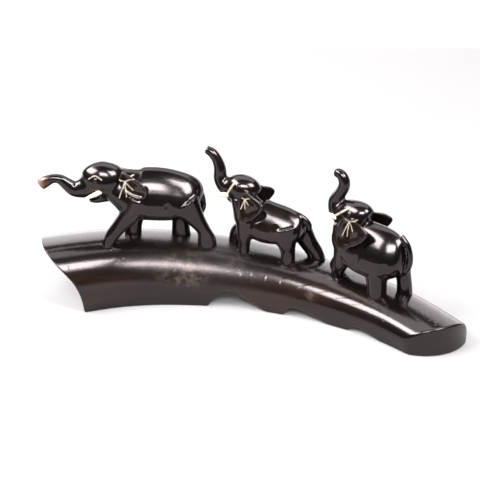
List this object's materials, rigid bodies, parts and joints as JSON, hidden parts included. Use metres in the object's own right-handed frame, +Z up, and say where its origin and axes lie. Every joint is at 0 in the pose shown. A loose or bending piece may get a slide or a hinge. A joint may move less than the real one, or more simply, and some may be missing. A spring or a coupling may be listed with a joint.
{
  "type": "carved elephant figurine",
  "caption": "Polished black carving of elephants walking in line, trunks raised and pale tusks set in, pinned on a crescent base with round top and small arches underneath.",
  "frame": {"origin": "middle of the bounding box at the height of the flat underside", "axes": "+Z up; +X along the line of elephants, which walk towards -X; the hollow side of the crescent base faces -Y"},
  "size_m": [0.3145, 0.1101, 0.1145],
  "materials": {
    "black_horn": "high polish",
    "bone": "satin",
    "pin_steel": "plain"
  },
  "bodies": {
    "root": {"crescent_base": "black_horn", "elephant_lead": "black_horn", "elephant_middle": "black_horn", "elephant_rear": "black_horn", "lead_tusk_left": "bone", "lead_tusk_right": "bone", "middle_tusk_left": "bone", "middle_tusk_right": "bone", "rear_tusk_left": "bone", "rear_tusk_right": "bone", "lead_pin_near_front": "pin_steel", "lead_pin_far_hind": "pin_steel", "middle_pin_near_front": "pin_steel", "middle_pin_far_hind": "pin_steel", "rear_pin_near_front": "pin_steel", "rear_pin_far_hind": "pin_steel"}
  },
  "joints": []
}
